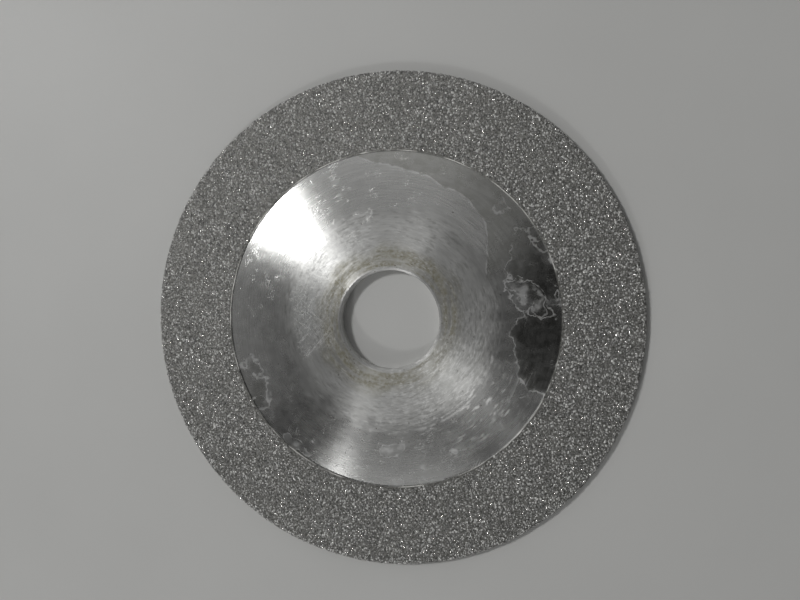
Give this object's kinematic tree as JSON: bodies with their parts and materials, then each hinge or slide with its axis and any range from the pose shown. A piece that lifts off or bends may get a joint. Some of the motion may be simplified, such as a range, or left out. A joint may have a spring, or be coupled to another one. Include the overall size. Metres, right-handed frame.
{
  "type": "diamond blade",
  "caption": "Thin round steel disc with a plain centre bore, a bare slightly domed centre and a wide plated diamond band at the rim, for grinding and cutting stone, tile and glass.",
  "frame": {"origin": "on the spindle axis, in the plane of the flat back", "axes": "+Z along the spindle axis, out of the front face with the diamond band"},
  "size_m": [0.1, 0.1, 0.0027],
  "materials": {
    "turned_steel": "satin",
    "plated_nickel": "satin",
    "diamond_grit": "matte"
  },
  "bodies": {
    "root": {"steel_core": "turned_steel", "nickel_bond": "plated_nickel", "front_diamond_grit": "diamond_grit", "rim_diamond_grit": "diamond_grit"}
  },
  "joints": []
}
